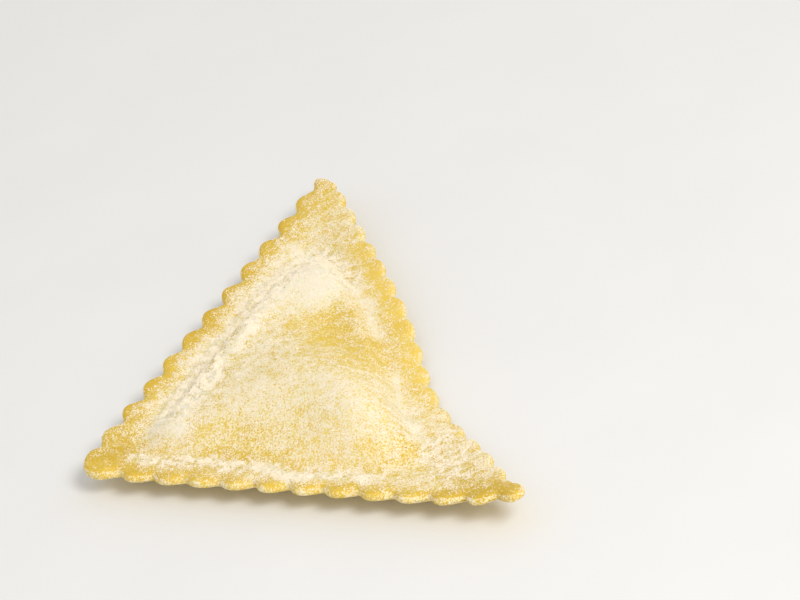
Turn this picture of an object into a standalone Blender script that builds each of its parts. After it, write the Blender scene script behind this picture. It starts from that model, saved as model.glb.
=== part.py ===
"""A triangular ravioli: one sealed pasta cushion with a fluted flange on all three sides.

The plan is a right-angled triangle with two equal short sides, the half of a square that was
cut across. The short sides lie along X and Y, and the long side faces +X +Y. The fluted
outline is worked out in plan, and the heights of the upper and lower face are functions of
the place in plan. The ravioli rests on the flat spot under its filling, and most of its
flange stands a little clear of the table.
"""

import bmesh
import bpy
import numpy as np
from mathutils import geometry

MM = 0.001

# The triangle, with its square corner at the origin; its sides are numbered counterclockwise,
# from the side along X
SIDE = 63.8 * MM  # a short side, out to its sharp corners
CORNERS = np.array([[0.0, 0.0], [SIDE, 0.0], [0.0, SIDE]])
DIRECTIONS = np.array([[1.0, 0.0], [-np.sqrt(0.5), np.sqrt(0.5)], [0.0, -1.0]])
INWARDS = np.array([[0.0, 1.0], [-np.sqrt(0.5), -np.sqrt(0.5)], [1.0, 0.0]])
# From each sharp corner to the two guide points of its rounded corner
BENDS = np.array(
    [[[0.35, 1.67], [1.6, 0.23]], [[0.5, -1.2], [-1.1, 3.5]], [[1.85, -2.88], [0.67, -2.63]]]
) * MM
WAIST_DEPTH = 2.1 * MM  # the long side is drawn in here
WAIST_PLACE = 0.65  # along the long side, from the +Y tip to the +X tip
WAIST_WIDTH = 0.155

# The cutting wheel's flutes
FLUTE = 4.8 * MM  # from one lobe to the next
FLUTES = (12, 17, 12)  # on each side
FIRST_FLUTES = (4.1 * MM, 4.6 * MM, 3.1 * MM)
DEPTHS = (1.15 * MM, 0.65 * MM, 1.15 * MM)  # how deep a notch goes in from the lobes
NOTCH_ROUNDING = 0.2  # 0 gives notches that end in a sharp crease
UNEVENNESS = 0.22  # how far one notch's depth differs from the next

# The flange
EDGE_THICKNESS = 1.2 * MM
FLANGE_THICKNESS = 1.7 * MM
FLANGE_WIDTH = 4.6 * MM
EDGE_ROUNDING = 0.35 * MM
LIFT = 2.9 * MM  # how high the cut edge stands over the table
LIFT_REACH = 10.5 * MM  # the underside meets the table this far in from the edge
LIFT_SOFTNESS = 2.5 * MM  # how widely the lift is rounded at the corners
LIFT_POWER = 1.3
SAG = 2.7 * MM  # the long side droops to the table near its waist
SAG_WIDTH = 0.22
TIP_CURL = 2.2 * MM  # the +X tip turns up
TIP_CURL_REACH = 8.0 * MM

# The cushion over the filling
CUSHION_HEIGHT = 3.9 * MM
CUSHION_SLOPES = (12.0 * MM, 7.0 * MM, 7.5 * MM)  # it rises over these distances, by side
CUSHION_POWER = 2.0
CUSHION_ROUNDING = 0.3  # how widely its corners are rounded, as a share of its slopes
FOOT_ROUNDING = 0.03  # the same for its foot
TIP_FLANGES = (17.0 * MM, 19.0 * MM)  # it starts this far from the +X tip and the +Y tip
TIP_SLOPE = 8.0 * MM

# Swells and dents of the slack dough: x, y, direction in degrees, length, width, height
SWELLS = (
    (25.0, 30.5, -45.0, 14.0, 1.9, 1.0),  # rim along the long side
    (14.0, 38.5, -50.0, 4.5, 3.2, 0.9),  # cap towards the +Y tip
    (23.0, 26.5, -40.0, 7.0, 3.8, -1.4),  # hollow behind the rim
    (35.0, 13.0, -35.0, 8.5, 5.5, 2.6),  # mound of filling
    (24.0, 18.0, 0.0, 9.0, 8.0, 2.0),  # slack middle, held up by the filling
    (10.4, 26.0, 88.0, 12.0, 2.2, 1.0),  # ridge along the short side on X = 0
    (6.3, 26.0, 89.0, 14.0, 1.7, -1.0),  # hollow foot of the flank below it
    (13.0, 9.5, 10.0, 7.0, 4.0, 0.7),  # swell at the square corner
    (44.0, 11.0, -50.0, 5.5, 1.8, 0.7),  # rim's lower end
)

# The mesh
SAMPLES_PER_FLUTE = 8
CORNER_SAMPLES = 5
TOP_SPACING = 1.25 * MM
UNDERSIDE_SPACING = 2.2 * MM
MARGIN = 2.2 * MM  # between the lobes' line and the first lattice point


def bell(distance, width):
    """A smooth hump, 1 at no distance and under 0.4 past its width."""
    return np.exp(-((distance / width) ** 2))


def least(values, softness):
    """The least of the values, rounded off where two are nearly the same."""
    return -softness * np.log(sum(np.exp(-value / softness) for value in values))


def along_long_side(x, y):
    """The place abreast of a point: 0 at the +Y tip and 1 at the +X tip."""
    return (x + SIDE - y) / (2 * SIDE)


def waist(x, y):
    """How far the long side is drawn in abreast of a point."""
    return WAIST_DEPTH * bell(along_long_side(x, y) - WAIST_PLACE, WAIST_WIDTH)


def distances_in(x, y):
    """How far a point lies in from the lobes' line of each side."""
    return y, (SIDE - x - y) / np.sqrt(2) - waist(x, y), x


def side_points(i):
    """The cut edge of side i, from its first lobe to its last, with a notch between lobes."""
    flutes = np.arange(FLUTES[i] * SAMPLES_PER_FLUTE + 1) / SAMPLES_PER_FLUTE
    line = CORNERS[i] + np.outer(FIRST_FLUTES[i] + flutes * FLUTE, DIRECTIONS[i])
    if i == 1:
        line += waist(line[:, 0], line[:, 1])[:, None] * INWARDS[i]
    unevenness = np.random.default_rng(i).uniform(-1, 1, FLUTES[i] + 1)
    depths = DEPTHS[i] * (1 + UNEVENNESS * unevenness[flutes.astype(int)])
    lobes = np.hypot(np.cos(np.pi * flutes), NOTCH_ROUNDING) - NOTCH_ROUNDING
    lobes /= np.hypot(1.0, NOTCH_ROUNDING) - NOTCH_ROUNDING
    return line + np.outer(depths * (1 - lobes), INWARDS[i])


def corner_arc(start, guides, end):
    """The rounded corner between the last lobe of one side and the first of the next."""
    t = (np.arange(1, CORNER_SAMPLES) / CORNER_SAMPLES)[:, None]
    s = 1 - t
    return s**3 * start + 3 * s**2 * t * guides[0] + 3 * s * t**2 * guides[1] + t**3 * end


def outline():
    """The cut edge in plan; each side's last lobe is cut short and rounded into its corner."""
    half_lobe = SAMPLES_PER_FLUTE // 4
    sides = [side_points(i)[:-half_lobe] for i in range(3)]
    points = []
    for i in range(3):
        after = (i + 1) % 3
        arc = corner_arc(sides[i][-1], CORNERS[after] + BENDS[after], sides[after][0])
        points += [sides[i], arc]
    return np.vstack(points)


def drawn_in(line, inset):
    """A closed line moved squarely inwards."""
    along = np.roll(line, -1, axis=0) - np.roll(line, 1, axis=0)
    along /= np.linalg.norm(along, axis=1)[:, None]
    return line + inset * np.column_stack([-along[:, 1], along[:, 0]])


def edge_lift(x, y):
    """How high the flange's edge stands, following its sag and the curled tip."""
    sag = SAG * bell(along_long_side(x, y) - WAIST_PLACE, SAG_WIDTH)
    sag *= bell((SIDE - x - y) / np.sqrt(2), 2 * FLANGE_WIDTH)
    curl = TIP_CURL * np.exp(-np.hypot(x - SIDE, y) / TIP_CURL_REACH)
    return LIFT - sag + curl


def underside(x, y):
    """Flat on the table under the filling, rising to the lifted flange."""
    share = np.clip(1 - least(distances_in(x, y), LIFT_SOFTNESS) / LIFT_REACH, 0, 1)
    return edge_lift(x, y) * share**LIFT_POWER


def swells(x, y):
    """The sum of the dough's swells and dents at a point."""
    height = np.zeros_like(x)
    for centre_x, centre_y, direction, length, width, rise in SWELLS:
        turn = np.radians(direction)
        off_x = x - centre_x * MM
        off_y = y - centre_y * MM
        lengthways = off_x * np.cos(turn) + off_y * np.sin(turn)
        across = off_y * np.cos(turn) - off_x * np.sin(turn)
        height += rise * MM * bell(lengthways, length * MM) * bell(across, width * MM)
    return height


def topside(x, y):
    """The flange's upper face, and the cushion that rises from its inner edge."""
    distances = distances_in(x, y)
    from_edge = least(distances, EDGE_ROUNDING)
    thinning = (FLANGE_THICKNESS - EDGE_THICKNESS) * bell(from_edge, FLANGE_WIDTH / 2)
    climbs = [(distances[i] - FLANGE_WIDTH) / CUSHION_SLOPES[i] for i in range(3)]
    climbs.append((np.hypot(x - SIDE, y) - TIP_FLANGES[0]) / TIP_SLOPE)
    climbs.append((np.hypot(x, y - SIDE) - TIP_FLANGES[1]) / TIP_SLOPE)
    climb = FOOT_ROUNDING * np.logaddexp(0, least(climbs, CUSHION_ROUNDING) / FOOT_ROUNDING)
    climb = np.minimum(climb, 1)
    dome = CUSHION_HEIGHT * (1 - (1 - climb) ** CUSHION_POWER)
    share = np.minimum(4 * climb, 1)
    slack = swells(x, y) * share**2 * (3 - 2 * share)
    return underside(x, y) + FLANGE_THICKNESS - thinning + dome + slack


def lattice(spacing):
    """Evenly spread points inside the flutes."""
    rows = np.arange(MARGIN, SIDE, spacing * np.sqrt(0.75))
    columns = np.arange(MARGIN, SIDE, spacing)
    x, y = np.meshgrid(columns, rows)
    x[1::2] += spacing / 2
    points = np.column_stack([x.ravel(), y.ravel()])
    return points[np.minimum.reduce(distances_in(*points.T)) > MARGIN]


def face_sheet(mesh, rim, rim_points, inner, height_of):
    """Triangles over the closed line of rim points and the points inside it."""
    plan = np.vstack([rim_points, inner])
    heights = height_of(inner[:, 0], inner[:, 1])
    verts = rim + [mesh.verts.new((*inner[i], heights[i])) for i in range(len(inner))]
    border = [list(range(len(rim_points)))]
    triangles = geometry.delaunay_2d_cdt(plan.tolist(), [], border, 1, 1e-9)[2]
    for triangle in triangles:
        mesh.faces.new([verts[i] for i in triangle])


def ravioli_mesh():
    edge = outline()
    rim = drawn_in(edge, EDGE_ROUNDING)
    low = underside(edge[:, 0], edge[:, 1])
    layers = (
        (rim, topside(rim[:, 0], rim[:, 1])),
        (edge, low + EDGE_THICKNESS - EDGE_ROUNDING),
        (edge, low + EDGE_ROUNDING),
        (rim, underside(rim[:, 0], rim[:, 1])),
    )

    mesh = bmesh.new()
    rings = []
    for plan, heights in layers:
        points = np.column_stack([plan, heights])
        rings.append([mesh.verts.new(point) for point in points])
    for outer, inner in zip(rings, rings[1:]):
        for i in range(len(outer)):
            after = (i + 1) % len(outer)
            mesh.faces.new((outer[i], outer[after], inner[after], inner[i]))

    face_sheet(mesh, rings[0], rim, lattice(TOP_SPACING), topside)
    under = lattice(UNDERSIDE_SPACING)
    flat_from = LIFT_REACH + UNDERSIDE_SPACING
    in_flat = least(distances_in(under[:, 0], under[:, 1]), LIFT_SOFTNESS) > flat_from
    face_sheet(mesh, rings[-1], rim, under[~in_flat], underside)
    bmesh.ops.recalc_face_normals(mesh, faces=mesh.faces)

    centre = (edge.min(axis=0) + edge.max(axis=0)) / 2
    bmesh.ops.translate(mesh, vec=(-centre[0], -centre[1], 0.0), verts=mesh.verts)
    return mesh


def pasta_material():
    material = bpy.data.materials.new("floured_egg_pasta")
    material.use_nodes = True
    shader = material.node_tree.nodes["Principled BSDF"]
    shader.inputs["Base Color"].default_value = (0.86, 0.66, 0.27, 1.0)
    shader.inputs["Roughness"].default_value = 0.75
    shader.inputs["Metallic"].default_value = 0.0
    return material


def clear_scene():
    for existing in list(bpy.data.objects):
        bpy.data.objects.remove(existing, do_unlink=True)


def main():
    clear_scene()
    shape = bpy.data.meshes.new("ravioli")
    mesh = ravioli_mesh()
    mesh.to_mesh(shape)
    mesh.free()
    shape.materials.append(pasta_material())
    shape.shade_smooth()
    ravioli = bpy.data.objects.new("ravioli", shape)
    bpy.context.scene.collection.objects.link(ravioli)


main()
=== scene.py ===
"""Looks of the triangular ravioli: floured raw egg pasta on a pale floor.

The ravioli is made again at a fine scale on the same outline and heights as its CAD solid, with
the crimps, creases and rounded cut edge that the solid leaves out. Flour lies on it twice: as
a film in the material, and as loose grains of four kinds, each kind one joined mesh.
"""

import math

import bpy
import numpy as np
from mathutils import Matrix, Vector, geometry


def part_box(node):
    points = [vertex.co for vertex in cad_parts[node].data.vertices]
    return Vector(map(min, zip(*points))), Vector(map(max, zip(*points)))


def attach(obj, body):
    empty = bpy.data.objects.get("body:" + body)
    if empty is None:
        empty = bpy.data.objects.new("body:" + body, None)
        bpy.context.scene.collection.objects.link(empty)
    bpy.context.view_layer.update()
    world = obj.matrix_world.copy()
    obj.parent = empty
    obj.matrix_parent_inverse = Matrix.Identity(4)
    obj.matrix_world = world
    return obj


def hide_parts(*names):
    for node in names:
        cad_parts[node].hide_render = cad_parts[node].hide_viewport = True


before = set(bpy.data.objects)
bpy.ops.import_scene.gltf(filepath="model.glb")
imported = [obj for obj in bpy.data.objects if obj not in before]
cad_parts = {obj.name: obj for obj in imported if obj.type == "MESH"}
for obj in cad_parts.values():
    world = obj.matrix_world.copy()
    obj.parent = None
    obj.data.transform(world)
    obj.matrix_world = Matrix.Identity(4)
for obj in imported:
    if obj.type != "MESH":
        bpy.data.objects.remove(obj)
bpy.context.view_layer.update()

MM = 0.001
PIECE = "ravioli"

# ---------------------------------------------------------------------------------------------
# The triangle, as the CAD solid has it, with its square corner at the low corner of its box.
# Its sides are numbered counterclockwise, from the side along X.

SIDE = 63.8 * MM
CORNERS = np.array([[0.0, 0.0], [SIDE, 0.0], [0.0, SIDE]])
DIRECTIONS = np.array([[1.0, 0.0], [-np.sqrt(0.5), np.sqrt(0.5)], [0.0, -1.0]])
INWARDS = np.array([[0.0, 1.0], [-np.sqrt(0.5), -np.sqrt(0.5)], [1.0, 0.0]])
BENDS = np.array(
    [[[0.35, 1.67], [1.6, 0.23]], [[0.5, -1.2], [-1.1, 3.5]], [[1.85, -2.88], [0.67, -2.63]]]
) * MM
WAIST_DEPTH = 2.1 * MM
WAIST_PLACE = 0.65
WAIST_WIDTH = 0.155

FLUTE = 4.8 * MM
FLUTES = (12, 17, 12)
FIRST_FLUTES = (4.1 * MM, 4.6 * MM, 3.1 * MM)
DEPTHS = (1.15 * MM, 0.65 * MM, 1.15 * MM)
NOTCH_ROUNDING = 0.2
UNEVENNESS = 0.22

EDGE_THICKNESS = 1.2 * MM
FLANGE_THICKNESS = 1.7 * MM
FLANGE_WIDTH = 4.6 * MM
EDGE_ROUNDING = 0.35 * MM
LIFT = 2.9 * MM
LIFT_REACH = 10.5 * MM
LIFT_SOFTNESS = 2.5 * MM
LIFT_POWER = 1.3
SAG = 2.7 * MM
SAG_WIDTH = 0.22
TIP_CURL = 2.2 * MM
TIP_CURL_REACH = 8.0 * MM

CUSHION_HEIGHT = 3.9 * MM
CUSHION_SLOPES = (12.0 * MM, 7.0 * MM, 7.5 * MM)
CUSHION_POWER = 2.0
CUSHION_ROUNDING = 0.3
FOOT_ROUNDING = 0.03
TIP_FLANGES = (17.0 * MM, 19.0 * MM)
TIP_SLOPE = 8.0 * MM

# Swells and dents of the slack dough: x, y, direction in degrees, length, width, height
SWELLS = (
    (25.0, 30.5, -45.0, 14.0, 1.9, 1.0),  # rim along the long side
    (14.0, 38.5, -50.0, 4.5, 3.2, 0.9),  # cap towards the +Y tip
    (23.0, 26.5, -40.0, 7.0, 3.8, -1.4),  # hollow behind the rim
    (35.0, 13.0, -35.0, 8.5, 5.5, 2.6),  # mound of filling
    (24.0, 18.0, 0.0, 9.0, 8.0, 2.0),  # slack middle, held up by the filling
    (10.4, 26.0, 88.0, 12.0, 2.2, 1.0),  # ridge along the short side on X = 0
    (6.3, 26.0, 89.0, 14.0, 1.7, -1.0),  # hollow foot of the flank below it
    (13.0, 9.5, 10.0, 7.0, 4.0, 0.7),  # swell at the square corner
    (44.0, 11.0, -50.0, 5.5, 1.8, 0.7),  # rim's lower end
)

# ---------------------------------------------------------------------------------------------
# What the fine surface adds

# Creases: from x, y to x, y, half width, depth, all in mm
CREASES = (
    (10.0, 5.3, 27.0, 5.2, 0.5, 0.16),  # at the cushion's foot, along X
    (6.2, 42.5, 7.6, 46.5, 0.35, 0.16),
    (7.4, 42.0, 8.8, 45.5, 0.35, 0.14),
    (5.4, 44.5, 6.2, 47.5, 0.3, 0.12),
    (7.5, 11.0, 7.8, 41.0, 1.4, 0.42),  # at the foot of the flank along Y
)
CRIMP_DEPTHS = (0.26 * MM, 0.03 * MM, 0.14 * MM)  # how far each side sinks towards its notches
CRIMP_REACH = 2.2 * MM
RIM_ROUNDING = 0.8 * MM  # of the upper rim of the cut edge
UNDER_ROUNDING = 0.28 * MM  # of its lower rim
ROUNDING_INSET = 0.28 * MM  # how much of the rounding is in the wall, not in the upper face
SEAM_DEPTH = 0.05 * MM  # the line between the two sheets, on the cut edge
# Ripples of the dough: size and height
RIPPLES = ((5.0 * MM, 0.07 * MM), (2.2 * MM, 0.03 * MM), (0.9 * MM, 0.008 * MM))
# Lumps of the crust of flour: size and height
CRUST_LUMPS = ((1.3 * MM, 0.14 * MM), (0.6 * MM, 0.24 * MM))
CLUMP = 0.7 * MM  # about how far apart the loose grains crowd together

SAMPLES_PER_FLUTE = 32
CORNER_SAMPLES = 20
TOP_SPACING = 0.2 * MM
UNDERSIDE_SPACING = 0.5 * MM

# ---------------------------------------------------------------------------------------------
# Where the flour lies: from x, y to x, y, half width, all in mm, and the share it covers there,
# 0 for bare pasta and over 1 for a heap. Later strokes go over earlier ones.
FLOUR_BASE = 0.6
FLOUR_DRIFTS = (
    (6.5, 13.0, 6.5, 43.0, 3.4, 1.0),  # flank along Y
    (8.0, 11.0, 8.0, 39.0, 2.6, 1.4),
    (4.0, 25.0, 4.0, 42.0, 1.2, 0.95),
    (14.0, 37.5, 16.0, 34.5, 3.2, 1.2),  # cap
    (14.0, 27.0, 16.0, 13.0, 3.0, 0.76),  # beside the ridge
    (17.0, 13.0, 27.0, 14.0, 3.5, 0.78),
    (20.0, 29.5, 30.0, 21.5, 3.8, 0.24),  # hollow
    (33.5, 26.5, 37.5, 22.5, 1.6, 0.15),
    (31.0, 15.0, 37.0, 11.0, 3.0, 0.8),  # mound
    (44.0, 11.0, 51.0, 7.5, 2.2, 0.76),  # patch towards the +X tip
    (41.0, 3.4, 54.0, 2.8, 1.8, 0.58),
    (14.0, 9.0, 21.0, 8.5, 1.8, 0.5),  # thin spot
    (15.0, 46.5, 31.0, 31.0, 2.2, 0.15),  # flange of the long side
    (31.0, 30.0, 41.0, 20.5, 1.8, 0.3),
    (30.5, 23.0, 34.0, 19.0, 1.2, 0.7),
    (0.0, 0.0, 4.0, 3.5, 3.8, 0.08),  # square corner
    (0.0, 5.0, 2.5, 10.0, 2.4, 0.35),
    (3.0, 0.0, 15.0, 0.0, 2.4, 0.05),
    (15.0, 0.0, 60.0, 0.0, 2.0, 0.2),  # edge along X
    (55.0, 1.0, 62.0, 1.0, 3.4, 0.06),  # +X tip
    (0.3, 12.0, 0.3, 57.0, 2.4, 0.0),  # edge along Y
    (4.0, 55.0, 2.5, 61.0, 2.6, 0.3),  # +Y tip
    (11.2, 9.0, 11.8, 42.0, 1.3, 1.3),  # ridge along Y
    (8.0, 45.0, 13.0, 42.0, 2.0, 1.4),  # arch
    (13.0, 41.4, 17.5, 38.0, 1.8, 1.2),
    (17.5, 38.0, 21.0, 36.0, 1.0, 0.9),
    (21.0, 36.0, 26.5, 30.8, 0.9, 0.95),  # rim along the long side
    (32.5, 23.0, 38.5, 15.5, 0.8, 0.95),  # rim's lower end
    (38.5, 15.5, 43.0, 11.5, 1.2, 1.15),
    (7.0, 3.8, 24.0, 3.7, 0.9, 0.95),  # line along X
    (24.0, 3.7, 40.0, 3.4, 1.0, 1.15),
    (16.0, 5.5, 30.0, 5.3, 0.5, 0.3),  # darker line along the crease above it
)
# How the strokes wander: size and reach of the waves
FLOUR_WANDER = ((6.0 * MM, 0.7 * MM), (1.6 * MM, 0.5 * MM))
# How grainy the film is, from smooth at 0: from x, y to x, y, half width, graininess
GRIT_PLACES = (
    (26.0, 17.0, 37.0, 11.0, 5.0, 0.4),  # mound
    (14.0, 9.0, 22.0, 9.0, 3.5, 0.4),
    (13.0, 40.0, 17.0, 33.0, 3.5, 0.3),  # cap
)
# Painted light and shade on the pasta, from deep yellow at 0: paler where the light falls, deeper
# yellow as painted shade along the edges: from x, y to x, y, half width, paleness
PAINTED_LIGHT_BASE = 0.45
PAINTED_LIGHT_PLACES = (
    (15.0, 47.0, 40.0, 22.0, 3.0, 1.0),  # painted light on the flange of the long side
    # painted highlight over the middle and the mound
    (24.0, 24.0, 36.0, 12.0, 5.0, 0.9),
    # painted shade: deeper yellow at the square corner, along the edges along Y and X, and at the +X
    # tip
    (0.0, 0.0, 4.0, 4.0, 5.0, 0.2),
    (0.0, 8.0, 0.0, 58.0, 2.0, 0.0),
    (4.0, 0.0, 60.0, 0.0, 2.5, 0.3),
    (55.0, 1.0, 62.0, 1.0, 4.0, 0.0),
)
# How lumpy the flour is, up to a full crust at 1: from x, y to x, y, half width, lumpiness
CRUST_BASE = 0.05
CRUST_PLACES = (
    (9.0, 14.0, 8.6, 40.0, 3.6, 1.0),  # flank and ridge along Y
    (14.0, 39.0, 17.0, 33.0, 4.0, 0.0),  # smooth cap
    (38.5, 15.5, 43.0, 11.5, 1.5, 0.4),
    (44.0, 11.0, 52.0, 6.5, 3.0, 0.5),  # patch towards the +X tip
    (7.0, 3.8, 40.0, 3.5, 1.3, 0.6),  # line along X
    (2.0, 12.0, 2.0, 60.0, 2.0, 0.3),  # flange along Y
    (9.0, 45.5, 16.0, 40.5, 1.8, 0.7),  # arch
)
EDGE_COVER = 0.5
UNDERSIDE_COVER = 0.45


# ---------------------------------------------------------------------------------------------
# Small helpers


def bell(distance, width):
    """A smooth hump, 1 at no distance and under 0.4 past its width."""
    return np.exp(-((distance / width) ** 2))


def least(values, softness):
    """The least of the values, rounded off where two are nearly the same."""
    return -softness * np.log(sum(np.exp(-value / softness) for value in values))


def stroke_distance(x, y, start_x, start_y, end_x, end_y):
    """How far a point lies from a straight stroke."""
    run_x = end_x - start_x
    run_y = end_y - start_y
    t = ((x - start_x) * run_x + (y - start_y) * run_y) / (run_x**2 + run_y**2)
    t = np.clip(t, 0, 1)
    return np.hypot(x - start_x - t * run_x, y - start_y - t * run_y)


def ripple(x, y, size, seed):
    """Smooth random waves between -1 and 1, about size from one to the next."""
    lattice = np.random.default_rng(seed).uniform(-1, 1, (160, 160))
    cosine, sine = math.cos(seed), math.sin(seed)
    u = (x * cosine + y * sine) / size + 200
    v = (y * cosine - x * sine) / size + 200
    i = np.floor(u).astype(int)
    j = np.floor(v).astype(int)
    s = u - i
    t = v - j
    s = s * s * (3 - 2 * s)
    t = t * t * (3 - 2 * t)
    i %= 159
    j %= 159
    low = lattice[i, j] * (1 - s) + lattice[i + 1, j] * s
    high = lattice[i, j + 1] * (1 - s) + lattice[i + 1, j + 1] * s
    return low * (1 - t) + high * t


# ---------------------------------------------------------------------------------------------
# The ravioli's outline and heights


def along_long_side(x, y):
    return (x + SIDE - y) / (2 * SIDE)


def waist(x, y):
    return WAIST_DEPTH * bell(along_long_side(x, y) - WAIST_PLACE, WAIST_WIDTH)


def distances_in(x, y):
    """How far a point lies in from the lobes' line of each side."""
    return y, (SIDE - x - y) / np.sqrt(2) - waist(x, y), x


def notch_share(i, along):
    """0 on a lobe's crest and 1 in a notch of side i, at a distance along it."""
    flutes = (along - FIRST_FLUTES[i]) / FLUTE
    lobes = np.hypot(np.cos(np.pi * flutes), NOTCH_ROUNDING) - NOTCH_ROUNDING
    lobes /= np.hypot(1.0, NOTCH_ROUNDING) - NOTCH_ROUNDING
    return np.where((flutes > 0) & (flutes < FLUTES[i]), 1 - lobes, 0.0)


def side_points(i):
    flutes = np.arange(FLUTES[i] * SAMPLES_PER_FLUTE + 1) / SAMPLES_PER_FLUTE
    along = FIRST_FLUTES[i] + flutes * FLUTE
    line = CORNERS[i] + np.outer(along, DIRECTIONS[i])
    if i == 1:
        line += waist(line[:, 0], line[:, 1])[:, None] * INWARDS[i]
    unevenness = np.random.default_rng(i).uniform(-1, 1, FLUTES[i] + 1)
    depths = DEPTHS[i] * (1 + UNEVENNESS * unevenness[flutes.astype(int)])
    return line + np.outer(depths * notch_share(i, along), INWARDS[i])


def corner_arc(start, guides, end):
    """A smooth bend from start to end, drawn towards two guide points."""
    t = (np.arange(1, CORNER_SAMPLES) / CORNER_SAMPLES)[:, None]
    s = 1 - t
    return s**3 * start + 3 * s**2 * t * guides[0] + 3 * s * t**2 * guides[1] + t**3 * end


def outline():
    half_lobe = SAMPLES_PER_FLUTE // 4
    sides = [side_points(i)[:-half_lobe] for i in range(3)]
    points = []
    for i in range(3):
        after = (i + 1) % 3
        arc = corner_arc(sides[i][-1], CORNERS[after] + BENDS[after], sides[after][0])
        points += [sides[i], arc]
    return np.vstack(points)


def drawn_in(line, inset):
    """A closed line moved squarely inwards."""
    along = np.roll(line, -2, axis=0) - np.roll(line, 2, axis=0)
    along /= np.linalg.norm(along, axis=1)[:, None]
    return line + np.outer(np.ones(len(line)) * inset, [1, 1]) * np.column_stack(
        [-along[:, 1], along[:, 0]]
    )


def edge_lift(x, y):
    sag = SAG * bell(along_long_side(x, y) - WAIST_PLACE, SAG_WIDTH)
    sag *= bell((SIDE - x - y) / np.sqrt(2), 2 * FLANGE_WIDTH)
    curl = TIP_CURL * np.exp(-np.hypot(x - SIDE, y) / TIP_CURL_REACH)
    return LIFT - sag + curl


def underside(x, y):
    share = np.clip(1 - least(distances_in(x, y), LIFT_SOFTNESS) / LIFT_REACH, 0, 1)
    return edge_lift(x, y) * share**LIFT_POWER


def swells(x, y):
    height = np.zeros_like(x)
    for centre_x, centre_y, direction, length, width, rise in SWELLS:
        turn = np.radians(direction)
        off_x = x - centre_x * MM
        off_y = y - centre_y * MM
        lengthways = off_x * np.cos(turn) + off_y * np.sin(turn)
        across = off_y * np.cos(turn) - off_x * np.sin(turn)
        height += rise * MM * bell(lengthways, length * MM) * bell(across, width * MM)
    return height


def topside(x, y):
    """The CAD solid's upper face."""
    distances = distances_in(x, y)
    from_edge = least(distances, EDGE_ROUNDING)
    thinning = (FLANGE_THICKNESS - EDGE_THICKNESS) * bell(from_edge, FLANGE_WIDTH / 2)
    climbs = [(distances[i] - FLANGE_WIDTH) / CUSHION_SLOPES[i] for i in range(3)]
    climbs.append((np.hypot(x - SIDE, y) - TIP_FLANGES[0]) / TIP_SLOPE)
    climbs.append((np.hypot(x, y - SIDE) - TIP_FLANGES[1]) / TIP_SLOPE)
    climb = FOOT_ROUNDING * np.logaddexp(0, least(climbs, CUSHION_ROUNDING) / FOOT_ROUNDING)
    climb = np.minimum(climb, 1)
    dome = CUSHION_HEIGHT * (1 - (1 - climb) ** CUSHION_POWER)
    share = np.minimum(4 * climb, 1)
    slack = swells(x, y) * share**2 * (3 - 2 * share)
    return underside(x, y) + FLANGE_THICKNESS - thinning + dome + slack


def painted(x, y, base, strokes):
    """A level over the upper face: a base with straight strokes of other levels over it."""
    level = np.full_like(x, base)
    for *ends, width, stroke_level in strokes:
        distance = stroke_distance(x, y, *[end * MM for end in ends])
        level += (stroke_level - level) * bell(distance, width * MM)
    return level


def crimps(x, y):
    """How far the flange sinks towards the notches."""
    sunk = np.zeros_like(x)
    for i, distance in enumerate(distances_in(x, y)):
        along = (x - CORNERS[i, 0]) * DIRECTIONS[i, 0] + (y - CORNERS[i, 1]) * DIRECTIONS[i, 1]
        reach = bell(np.maximum(distance, 0), CRIMP_REACH)
        sunk += CRIMP_DEPTHS[i] * notch_share(i, along) * reach
    return sunk


def creases(x, y):
    depth = np.zeros_like(x)
    for *ends, width, deepest in CREASES:
        distance = stroke_distance(x, y, *[end * MM for end in ends])
        depth += deepest * MM * bell(distance, width * MM)
    return depth


def wandered(x, y):
    """A place moved a little about, so that straight strokes come out ragged."""
    for i, (size, reach) in enumerate(FLOUR_WANDER):
        x, y = x + reach * ripple(x, y, size, 50 + i), y + reach * ripple(x, y, size, 60 + i)
    return x, y


def flour_cover(x, y):
    """The share of the surface that flour covers, on the upper side."""
    return painted(*wandered(x, y), FLOUR_BASE, FLOUR_DRIFTS)


def film_grit(x, y):
    return painted(x, y, 1.0, GRIT_PLACES)


# Painted light and shade on the pasta: paler where the light falls, deeper yellow where shade falls.
def paleness(x, y):
    return painted(x, y, PAINTED_LIGHT_BASE, PAINTED_LIGHT_PLACES)


def crust(x, y):
    return painted(*wandered(x, y), CRUST_BASE, CRUST_PLACES)


def rounding(inset):
    """How far the upper rim's rounding drops at a distance in from the cut edge."""
    flat = RIM_ROUNDING - np.minimum(inset, RIM_ROUNDING)
    return RIM_ROUNDING - np.sqrt(RIM_ROUNDING**2 - flat**2)


def distance_to(points, line):
    """How far each of the points lies from a closed line, where that is under 1.5 mm."""
    nearest = np.full(len(points), 1.5 * MM)
    close = np.flatnonzero(np.minimum.reduce(distances_in(*points.T)) < 3.5 * MM)
    runs = np.roll(line, -1, axis=0) - line
    lengths = (runs**2).sum(axis=1)
    for some in np.array_split(close, 1 + len(close) // 2000):
        offsets = points[some][:, None] - line
        shares = np.clip((offsets * runs).sum(axis=2) / lengths, 0, 1)
        gaps = np.linalg.norm(offsets - shares[..., None] * runs, axis=2)
        nearest[some] = np.minimum(nearest[some], gaps.min(axis=1))
    return nearest


def fine_topside(x, y):
    """The upper face with its crimps, creases, ripples and lumps of flour."""
    height = topside(x, y) - crimps(x, y) - creases(x, y)
    for i, (size, rise) in enumerate(RIPPLES):
        height += rise * ripple(x, y, size, 20 + i)
    lumpiness = crust(x, y)
    for i, (size, rise) in enumerate(CRUST_LUMPS):
        height += lumpiness * rise * (np.abs(ripple(x, y, size, 30 + i)) - 0.3)
    return height


# ---------------------------------------------------------------------------------------------
# The fine mesh


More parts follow.
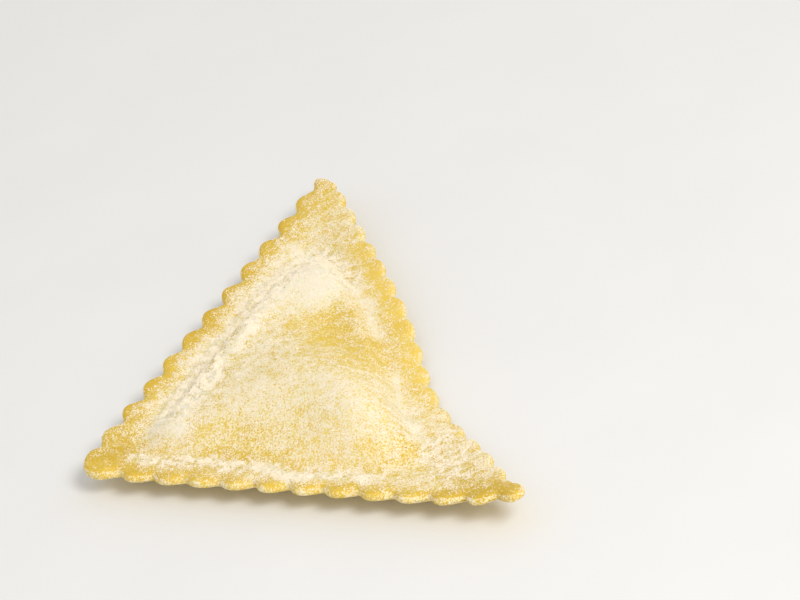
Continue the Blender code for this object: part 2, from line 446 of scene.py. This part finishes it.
def inside(points, line):
    """Which of the points lie inside a closed line."""
    x, y = points.T
    crossings = np.zeros(len(points), int)
    for (x1, y1), (x2, y2) in zip(line, np.roll(line, -1, axis=0)):
        spans = (y1 > y) != (y2 > y)
        crossings += spans & (x < x1 + (y - y1) * (x2 - x1) / (y2 - y1 + 1e-15))
    return crossings % 2 == 1


def lattice(spacing, border):
    """Evenly spread points inside a closed line."""
    rows = np.arange(0, SIDE, spacing * np.sqrt(0.75))
    columns = np.arange(0, SIDE, spacing)
    x, y = np.meshgrid(columns, rows)
    x[1::2] += spacing / 2
    points = np.column_stack([x.ravel(), y.ravel()])
    return points[inside(points, border)]


def sheet_triangles(rim, inner):
    """Triangles over the closed line of rim points and the points inside it."""
    plan = np.vstack([rim, inner]).tolist()
    made = geometry.delaunay_2d_cdt(plan, [], [list(range(len(rim)))], 1, 1e-9)
    if len(made[0]) != len(plan):
        raise ValueError("the rim crosses itself")
    return np.array(made[2])


def wall_rings(edge):
    """The cut edge from its upper rim down to its lower rim, as rings of points."""
    rings = []
    for inset in ROUNDING_INSET * np.array([1, 0.7, 0.42, 0.18, 0]):
        plan = drawn_in(edge, inset)
        height = fine_topside(plan[:, 0], plan[:, 1]) - rounding(inset)
        rings.append(np.column_stack([plan, height]))
    top = rings[-1][:, 2]
    low = underside(edge[:, 0], edge[:, 1]) + UNDER_ROUNDING
    for share, inset in ((0.35, 0), (0.5, SEAM_DEPTH), (0.65, 0)):
        plan = drawn_in(edge, inset)
        rings.append(np.column_stack([plan, top + share * (low - top)]))
    for turn in np.radians([0, 22, 45, 68, 90]):
        plan = drawn_in(edge, UNDER_ROUNDING * (1 - np.cos(turn)))
        height = low - UNDER_ROUNDING * np.sin(turn)
        if turn > 1.5:
            height = underside(plan[:, 0], plan[:, 1])
        rings.append(np.column_stack([plan, height]))
    return rings


def ravioli_piece(corner):
    """The fine mesh of the whole ravioli, with its flour cover as an attribute."""
    edge = outline()
    rings = wall_rings(edge)
    count = len(edge)
    top_rim = rings[0][:, :2]
    under_rim = rings[-1][:, :2]
    top_inner = lattice(TOP_SPACING, drawn_in(top_rim, 0.6 * TOP_SPACING))
    under_inner = lattice(UNDERSIDE_SPACING, drawn_in(under_rim, 0.6 * UNDERSIDE_SPACING))
    height = fine_topside(*top_inner.T) - rounding(distance_to(top_inner, edge))
    top_points = np.column_stack([top_inner, height])
    under_points = np.column_stack([under_inner, underside(*under_inner.T)])
    points = np.vstack(rings + [top_points, under_points])

    here = np.arange(count)
    after = (here + 1) % count
    faces = []
    for ring in range(len(rings) - 1):
        upper = ring * count
        lower = upper + count
        faces.append(np.column_stack([upper + here, lower + here, lower + after]))
        faces.append(np.column_stack([upper + here, lower + after, upper + after]))
    wall_end = len(rings) * count
    top = sheet_triangles(top_rim, top_inner)
    faces.append(np.where(top < count, top, top - count + wall_end))
    under = sheet_triangles(under_rim, under_inner)
    under_end = wall_end + len(top_inner)
    under = np.where(under < count, under + wall_end - count, under - count + under_end)
    faces.append(under[:, ::-1])
    faces = np.vstack(faces)

    cover = flour_cover(points[:, 0], points[:, 1])
    cover[count:wall_end] = EDGE_COVER
    cover[wall_end - count : wall_end] = UNDERSIDE_COVER
    cover[under_end:] = UNDERSIDE_COVER
    grit = film_grit(points[:, 0], points[:, 1])
    lumpiness = crust(points[:, 0], points[:, 1])
    lumpiness[count:wall_end] = CRUST_BASE
    lumpiness[under_end:] = CRUST_BASE
    # The pale attribute carries painted light and shade.
    pale = paleness(points[:, 0], points[:, 1])
    points[:, :2] += corner
    attributes = {"cover": cover, "grit": grit, "crust": lumpiness, "pale": pale}
    return mesh_object("ravioli_pasta", points, faces, attributes, smooth=True)


def mesh_object(name, points, faces, attributes, smooth):
    """A mesh of triangles with a number for each point in each attribute."""
    mesh = bpy.data.meshes.new(name)
    mesh.vertices.add(len(points))
    mesh.vertices.foreach_set("co", points.astype(np.float32).ravel())
    mesh.loops.add(faces.size)
    mesh.loops.foreach_set("vertex_index", faces.astype(np.int32).ravel())
    mesh.polygons.add(len(faces))
    mesh.polygons.foreach_set("loop_start", np.arange(0, faces.size, 3, dtype=np.int32))
    mesh.update(calc_edges=True)
    mesh.validate()
    for attribute, values in attributes.items():
        layer = mesh.attributes.new(attribute, "FLOAT", "POINT")
        layer.data.foreach_set("value", values.astype(np.float32))
    if smooth:
        mesh.shade_smooth()
    else:
        mesh.shade_flat()
    made = bpy.data.objects.new(name, mesh)
    bpy.context.scene.collection.objects.link(made)
    return made


# ---------------------------------------------------------------------------------------------
# Loose flour

TETRAHEDRON = (
    np.array([[1, 1, 1], [1, -1, -1], [-1, 1, -1], [-1, -1, 1]]) / np.sqrt(3),
    np.array([[0, 1, 2], [0, 3, 1], [0, 2, 3], [1, 3, 2]]),
)
OCTAHEDRON = (
    np.array([[1, 0, 0], [-1, 0, 0], [0, 1, 0], [0, -1, 0], [0, 0, 1], [0, 0, -1.0]]),
    np.array(
        [[0, 2, 4], [2, 1, 4], [1, 3, 4], [3, 0, 4], [2, 0, 5], [1, 2, 5], [3, 1, 5], [0, 3, 5]]
    ),
)


def ball(subdivisions):
    """A small ball of triangles, as points and faces."""
    shape = bpy.data.meshes.new("ball")
    import bmesh

    mesh = bmesh.new()
    bmesh.ops.create_icosphere(mesh, subdivisions=subdivisions, radius=1.0)
    points = np.array([vert.co[:] for vert in mesh.verts])
    faces = np.array([[vert.index for vert in face.verts] for face in mesh.faces])
    mesh.free()
    bpy.data.meshes.remove(shape)
    return points, faces


def random_turns(count, randomness):
    """Evenly random rotations, one matrix each."""
    q = randomness.normal(size=(count, 4))
    w, x, y, z = (q / np.linalg.norm(q, axis=1)[:, None]).T
    return np.stack(
        [
            np.stack([1 - 2 * (y * y + z * z), 2 * (x * y - z * w), 2 * (x * z + y * w)], -1),
            np.stack([2 * (x * y + z * w), 1 - 2 * (x * x + z * z), 2 * (y * z - x * w)], -1),
            np.stack([2 * (x * z - y * w), 2 * (y * z + x * w), 1 - 2 * (x * x + y * y)], -1),
        ],
        1,
    )


def places_on(piece, count, chance, randomness):
    """Random points on a piece's surface, with their normals; chance weighs each face."""
    mesh = piece.data
    points = np.empty(len(mesh.vertices) * 3, np.float32)
    mesh.vertices.foreach_get("co", points)
    points = points.reshape(-1, 3).astype(float)
    faces = np.empty(len(mesh.polygons) * 3, np.int32)
    mesh.loops.foreach_get("vertex_index", faces)
    faces = faces.reshape(-1, 3)
    levels = np.empty((2, len(mesh.vertices)), np.float32)
    mesh.attributes["cover"].data.foreach_get("value", levels[0])
    mesh.attributes["crust"].data.foreach_get("value", levels[1])
    corners = points[faces]
    normals = np.cross(corners[:, 1] - corners[:, 0], corners[:, 2] - corners[:, 0])
    areas = np.linalg.norm(normals, axis=1)
    normals /= np.maximum(areas, 1e-15)[:, None]
    cover, lumpiness = levels[:, faces].mean(axis=2)
    weights = areas * chance(cover, lumpiness, normals[:, 2])
    middles = corners.mean(axis=1)
    weights *= np.clip(0.5 + ripple(middles[:, 0], middles[:, 1], CLUMP, 41), 0.05, 1.5)
    chosen = randomness.choice(len(faces), count, p=weights / weights.sum())
    a, b = randomness.random((2, count))
    outside = a + b > 1
    a[outside] = 1 - a[outside]
    b[outside] = 1 - b[outside]
    triangle = corners[chosen]
    spots = triangle[:, 0] + a[:, None] * (triangle[:, 1] - triangle[:, 0])
    spots += b[:, None] * (triangle[:, 2] - triangle[:, 0])
    return spots, normals[chosen]


def scatter(name, piece, shape, count, sizes, flatness, chance, seed):
    """One kind of grain, joined into one mesh; sizes are the smallest and largest radius.

    Each grain is pressed flat against the surface by the share flatness, and half sunk in it.
    """
    randomness = np.random.default_rng(seed)
    spots, normals = places_on(piece, count, chance, randomness)
    points, faces = shape
    radii = sizes[0] + (sizes[1] - sizes[0]) * randomness.random(count) ** 2
    stretch = 1 + 0.35 * randomness.uniform(-1, 1, (count, 1, 3))
    lumps = 1 + 0.18 * randomness.uniform(-1, 1, (count, len(points), 1))
    grains = points[None] * stretch * lumps * radii[:, None, None]
    grains = np.einsum("nij,nkj->nki", random_turns(count, randomness), grains)
    rise = np.einsum("nij,nj->ni", grains, normals)
    grains -= flatness * rise[..., None] * normals[:, None]
    grains += (spots + 0.3 * (1 - flatness) * normals * radii[:, None])[:, None]
    grains[..., 2] = np.maximum(grains[..., 2], 0.01 * MM)
    offsets = np.arange(count)[:, None, None] * len(points)
    tone = np.repeat(randomness.random(count), len(points))
    return mesh_object(
        name,
        grains.reshape(-1, 3),
        (faces[None] + offsets).reshape(-1, 3),
        {"tone": tone},
        smooth=False,
    )


# ---------------------------------------------------------------------------------------------
# Materials


class Nodes:
    """A material's node tree, with short calls for the nodes used here."""

    def __init__(self, name):
        self.material = bpy.data.materials.new(name)
        self.material.use_nodes = True
        self.tree = self.material.node_tree
        self.shader = self.tree.nodes["Principled BSDF"]
        self.place = self.tree.nodes.new("ShaderNodeTexCoord").outputs["Object"]

    def link(self, source, target):
        self.tree.links.new(source, target)

    def noise(self, size, detail=2.0, roughness=0.5, distortion=0.0):
        """Noise about size from one blob to the next, in metres."""
        node = self.tree.nodes.new("ShaderNodeTexNoise")
        node.inputs["Scale"].default_value = 1 / size
        node.inputs["Detail"].default_value = detail
        node.inputs["Roughness"].default_value = roughness
        node.inputs["Distortion"].default_value = distortion
        self.link(self.place, node.inputs["Vector"])
        return node.outputs["Fac"]

    def attribute(self, name):
        node = self.tree.nodes.new("ShaderNodeAttribute")
        node.attribute_name = name
        return node.outputs["Fac"]

    def maths(self, operation, first, second=0.0, third=0.0):
        node = self.tree.nodes.new("ShaderNodeMath")
        node.operation = operation
        for socket, value in zip(node.inputs, (first, second, third)):
            if isinstance(value, (int, float)):
                socket.default_value = value
            else:
                self.link(value, socket)
        return node.outputs["Value"]

    def spread(self, value, low, high, to_low=0.0, to_high=1.0):
        """Value from low to high, carried over to to_low to to_high and clamped."""
        node = self.tree.nodes.new("ShaderNodeMapRange")
        for name, amount in (
            ("Value", value),
            ("From Min", low),
            ("From Max", high),
            ("To Min", to_low),
            ("To Max", to_high),
        ):
            if isinstance(amount, (int, float)):
                node.inputs[name].default_value = amount
            else:
                self.link(amount, node.inputs[name])
        return node.outputs["Result"]

    def mix(self, share, first, second):
        node = self.tree.nodes.new("ShaderNodeMix")
        node.data_type = "RGBA"
        self.link(share, node.inputs["Factor"])
        for socket, colour in ((node.inputs[6], first), (node.inputs[7], second)):
            if isinstance(colour, tuple):
                socket.default_value = (*colour, 1.0)
            else:
                self.link(colour, socket)
        return node.outputs[2]

    def bump(self, height, distance, strength=1.0):
        node = self.tree.nodes.new("ShaderNodeBump")
        node.inputs["Strength"].default_value = strength
        node.inputs["Distance"].default_value = distance
        self.link(height, node.inputs["Height"])
        self.link(node.outputs["Normal"], self.shader.inputs["Normal"])


# Linear colours
DEEP_PASTA = (0.70, 0.46, 0.045)
PALE_PASTA = (0.88, 0.63, 0.11)
BARE_COVER = 0.3  # below this cover the pasta is bare
# Between the grains of a crust the film thins to deep yellow: partly bare pasta, partly painted
# shade in the gaps between the lumps.
CRUST_GAPS = 0.5  # how much thinner the film is between the grains of a full crust
# Pasta under ever more flour: the cover, and the colour there
FLOUR_COLOURS = (
    (0.55, (0.89, 0.71, 0.28)),
    (0.85, (0.94, 0.83, 0.54)),
    (1.2, (0.99, 0.915, 0.75)),
)
GRAIN_COLOURS = ((0.94, 0.84, 0.64), (0.99, 0.92, 0.78))
SEMOLINA_COLOURS = ((0.88, 0.72, 0.38), (0.92, 0.82, 0.55))
BRAN_COLOURS = ((0.20, 0.09, 0.03), (0.42, 0.24, 0.08))


def pasta_material():
    nodes = Nodes("floured_pasta")
    cover = nodes.attribute("cover")
    broad = nodes.spread(nodes.noise(1.4 * MM, 2.0, 0.6), 0.3, 0.7, -0.22, 0.22)
    fine = nodes.spread(nodes.noise(0.24 * MM, 2.0, 0.8), 0.3, 0.7, -1, 1)
    crusty = nodes.attribute("crust")
    # In crusty places the fine specks swing wider, so deep yellow specks show between the flour:
    # partly bare pasta, partly painted shade in the gaps between the lumps.
    amount = nodes.maths("MULTIPLY_ADD", crusty, 0.6, 0.55)
    patches = nodes.maths("MULTIPLY", broad, nodes.attribute("grit"))
    film = nodes.maths("MULTIPLY_ADD", crusty, -CRUST_GAPS, cover)
    film = nodes.maths("ADD", film, patches)
    local = nodes.maths("MULTIPLY_ADD", fine, amount, film)

    tone = nodes.spread(nodes.noise(7 * MM, 2.0), 0.3, 0.7, -0.3, 0.3)
    # The pale attribute adds painted light and shade to the pasta's random tone.
    tone = nodes.maths("ADD", tone, nodes.attribute("pale"))
    pasta = nodes.mix(nodes.spread(tone, 0, 1), DEEP_PASTA, PALE_PASTA)
    colour = pasta
    before = BARE_COVER
    for share, floured in FLOUR_COLOURS:
        colour = nodes.mix(nodes.spread(local, before, share), colour, floured)
        before = share
    nodes.link(colour, nodes.shader.inputs["Base Color"])
    nodes.shader.inputs["Roughness"].default_value = 0.8
    nodes.shader.inputs["Specular IOR Level"].default_value = 0.25
    nodes.shader.inputs["Subsurface Weight"].default_value = 0.3
    nodes.shader.inputs["Subsurface Radius"].default_value = (1.0, 0.7, 0.25)
    nodes.shader.inputs["Subsurface Scale"].default_value = 1.0 * MM
    nodes.bump(local, 0.07 * MM, 0.8)
    return nodes.material


def grain_material(name, colours):
    nodes = Nodes(name)
    colour = nodes.mix(nodes.attribute("tone"), *colours)
    nodes.link(colour, nodes.shader.inputs["Base Color"])
    nodes.shader.inputs["Roughness"].default_value = 0.9
    nodes.shader.inputs["Specular IOR Level"].default_value = 0.2
    return nodes.material


def floor_material():
    nodes = Nodes("pale_floor")
    grain = nodes.noise(20 * MM, 3.0)
    colour = nodes.mix(nodes.spread(grain, 0.3, 0.7), (0.84, 0.84, 0.84), (0.86, 0.86, 0.86))
    nodes.link(colour, nodes.shader.inputs["Base Color"])
    nodes.shader.inputs["Roughness"].default_value = 0.7
    return nodes.material


# ---------------------------------------------------------------------------------------------
# Camera and light

AZIMUTH = 39.87  # the camera stands this many degrees round from -Y towards +X
ELEVATION = 30.59
ROLL = -20.39
DISTANCE = 0.5
AIM = (26.84 * MM, 36.03 * MM, 4.0 * MM)  # from the square corner
LENS = 187.5


def direction(azimuth, elevation):
    """A unit vector that points azimuth degrees round from -Y towards +X, and up by elevation."""
    turn = math.radians(azimuth)
    rise = math.radians(elevation)
    level = math.cos(rise)
    return Vector((math.sin(turn) * level, -math.cos(turn) * level, math.sin(rise)))


def camera_axes():
    """The camera's right, up and back, in world space."""
    back = direction(AZIMUTH, ELEVATION)
    level = Vector((0, 0, 1)).cross(back).normalized()
    roll = Matrix.Rotation(math.radians(ROLL), 3, back)
    right = roll @ level
    return right, back.cross(right), back


def make_camera(corner):
    right, up, back = camera_axes()
    data = bpy.data.cameras.new("camera")
    data.sensor_width = 36
    data.lens = LENS
    data.clip_start = 0.01
    data.clip_end = 10
    camera = bpy.data.objects.new("camera", data)
    bpy.context.scene.collection.objects.link(camera)
    place = Vector((*corner, 0)) + Vector(AIM) + back * DISTANCE
    camera.matrix_world = Matrix.Translation(place) @ Matrix((right, up, back)).transposed().to_4x4()
    bpy.context.scene.camera = camera


def area_light(name, towards, distance, size, power, colour):
    """A soft square light that shines on the ravioli."""
    data = bpy.data.lights.new(name, "AREA")
    data.size = size
    data.energy = power
    data.color = colour
    light = bpy.data.objects.new(name, data)
    bpy.context.scene.collection.objects.link(light)
    light.location = towards * distance
    light.rotation_euler = (-towards).to_track_quat("-Z", "Y").to_euler()


def make_light():
    world = bpy.data.worlds.new("studio")
    world.use_nodes = True
    background = world.node_tree.nodes["Background"]
    background.inputs["Color"].default_value = (1.0, 0.985, 0.955, 1.0)
    background.inputs["Strength"].default_value = 0.66
    bpy.context.scene.world = world
    area_light("key", direction(68, 41), 0.8, 0.25, 3.85, (1.0, 0.98, 0.95))
    bpy.context.scene.view_settings.view_transform = "Standard"


def make_floor():
    bpy.ops.mesh.primitive_plane_add(size=3.0, location=(0, 0, 0))
    floor = bpy.context.object
    floor.name = "floor"
    floor.data.materials.append(floor_material())


# ---------------------------------------------------------------------------------------------
# The scene


def main():
    low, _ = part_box(PIECE)
    corner = np.array([low[0], low[1]])

    make_camera(corner)
    make_light()
    make_floor()

    pasta = ravioli_piece(corner)
    pasta.data.materials.append(pasta_material())
    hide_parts(PIECE)

    flour = grain_material("flour", GRAIN_COLOURS)
    semolina = grain_material("semolina", SEMOLINA_COLOURS)
    bran = grain_material("bran", BRAN_COLOURS)
    grains = (
        scatter(
            "flour_dust", pasta, TETRAHEDRON, 45000, (0.05 * MM, 0.08 * MM), 0.5,
            lambda cover, lumpy, up: (0.06 + cover) * (0.35 + 0.65 * np.clip(up, 0, 1)), 1,
        ),
        scatter(
            "flour_specks", pasta, TETRAHEDRON, 45000, (0.07 * MM, 0.11 * MM), 0.5,
            lambda cover, lumpy, up: (0.03 + cover) * (0.8 + lumpy) * np.clip(up, 0.05, 1), 6,
        ),
        scatter(
            "flour_grains", pasta, OCTAHEDRON, 14000, (0.08 * MM, 0.12 * MM), 0.5,
            lambda cover, lumpy, up: cover * (0.25 + lumpy) * np.clip(up, 0.05, 1), 2,
        ),
        scatter(
            "flour_clumps", pasta, ball(1), 5000, (0.07 * MM, 0.14 * MM), 0.35,
            lambda cover, lumpy, up: cover * lumpy**1.5 * np.clip(up, 0.03, 1), 4,
        ),
        scatter(
            "semolina", pasta, ball(1), 400, (0.05 * MM, 0.08 * MM), 0.2,
            lambda cover, lumpy, up: (0.2 + cover) * np.clip(up, 0.03, 1), 3,
        ),
        scatter(
            "bran_flecks", pasta, ball(1), 60, (0.05 * MM, 0.09 * MM), 0.6,
            lambda cover, lumpy, up: np.clip(up, 0.03, 1), 5,
        ),
    )
    for piece in grains:
        own = {"semolina": semolina, "bran_flecks": bran}
        piece.data.materials.append(own.get(piece.name, flour))
    for piece in (pasta, *grains):
        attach(piece, "root")


main()
